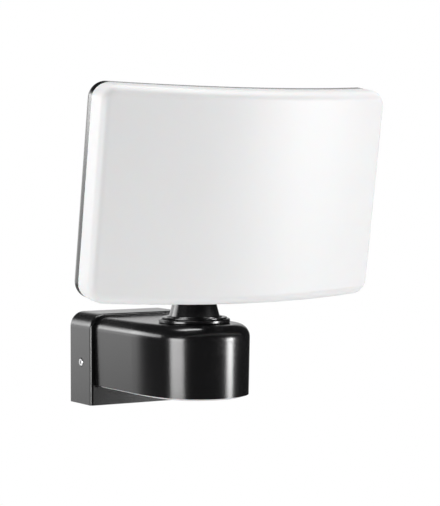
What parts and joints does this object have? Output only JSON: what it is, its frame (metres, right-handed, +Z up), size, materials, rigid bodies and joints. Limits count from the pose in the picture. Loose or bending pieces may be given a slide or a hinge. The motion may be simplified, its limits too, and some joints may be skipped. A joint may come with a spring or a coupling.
{
  "type": "floodlight security camera",
  "caption": "Wall-mounted outdoor floodlight with a wide curved opal lamp head that pans and tilts on a neck, over a rounded black housing with a downward camera and motion sensor",
  "frame": {"origin": "on the wall plane, midway between the two wall screw slots and on the cable entry's axis", "axes": "+Z up, +Y into the wall, the lamp faces -Y, +X to the right seen from the front"},
  "size_m": [0.2196, 0.2023, 0.2281],
  "materials": {
    "black_casting": "die cast, satin black powder coat",
    "opal_diffuser": "opal white, glossy",
    "pale_cover": "pale grey, glossy",
    "clear_window": "clear",
    "lens_glass": "coated lens",
    "zinc_steel": "zinc plated",
    "screw_steel": "bright stainless",
    "spring_steel": "spring steel",
    "brass": "bright",
    "aluminium": "mill finish",
    "seal_rubber": "matt",
    "green_board": "solder mask",
    "white_board": "white solder mask",
    "led_resin": "phosphor resin",
    "white_plastic": "moulded",
    "black_plastic": "moulded",
    "ferrite": "ferrite",
    "copper_coil": "enamelled wire",
    "can_sleeve": "heat-shrink sleeve",
    "fuse_glass": "ceramic body",
    "tin_can": "tinned",
    "sensor_die": "silicon",
    "wire": "PVC",
    "ptfe": "PTFE"
  },
  "bodies": {
    "base": {"base_casing": "black_casting", "wall_gasket": "seal_rubber", "wall_bracket": "zinc_steel", "cable_grommet": "seal_rubber", "side_screws": "screw_steel", "terminal_block": "white_plastic", "terminal_screws": "brass", "supply_leads": "wire", "driver_board": "green_board", "driver_screws": "screw_steel", "transformer": "ferrite", "capacitors": "can_sleeve", "choke": "copper_coil", "fuse": "fuse_glass", "driver_connectors": "white_plastic", "lamp_lead": "wire", "camera_board": "green_board", "camera_board_screws": "screw_steel", "camera_barrel": "black_plastic", "camera_lens": "lens_glass", "image_sensor": "sensor_die", "motion_sensor": "tin_can", "radio_module": "tin_can", "bottom_cover": "pale_cover", "cover_gasket": "seal_rubber", "cover_screws": "screw_steel", "camera_window": "clear_window", "motion_lens": "pale_cover", "collar_ring": "black_casting", "thrust_washer": "ptfe"},
    "swivel": {"neck": "black_casting", "neck_seal": "seal_rubber", "wave_washer": "spring_steel", "retaining_nut": "zinc_steel", "hinge_bolt": "screw_steel", "hinge_nut": "screw_steel", "hinge_washers": "zinc_steel", "neck_lead": "wire"},
    "head": {"rear_shell": "black_casting", "tilt_arm": "black_casting", "arm_screws": "screw_steel", "led_tray": "aluminium", "tray_screws": "screw_steel", "led_boards": "white_board", "leds": "led_resin", "strip_screws": "screw_steel", "strip_connectors": "white_plastic", "reflector_frame": "white_plastic", "diffuser": "opal_diffuser", "diffuser_gasket": "seal_rubber", "shell_screws": "screw_steel", "pressure_vent": "black_plastic", "head_lead": "wire"}
  },
  "joints": [
    {"name": "pan", "type": "hinge", "parent": "base", "child": "swivel", "pos_m": [0, -0.1085, 0.03], "axis": [0, 0, 1], "range_deg": [-60, 60]},
    {"name": "tilt", "type": "hinge", "parent": "swivel", "child": "head", "pos_m": [0, -0.1085, 0.08], "axis": [1, 0, 0], "range_deg": [-40, 15]}
  ]
}
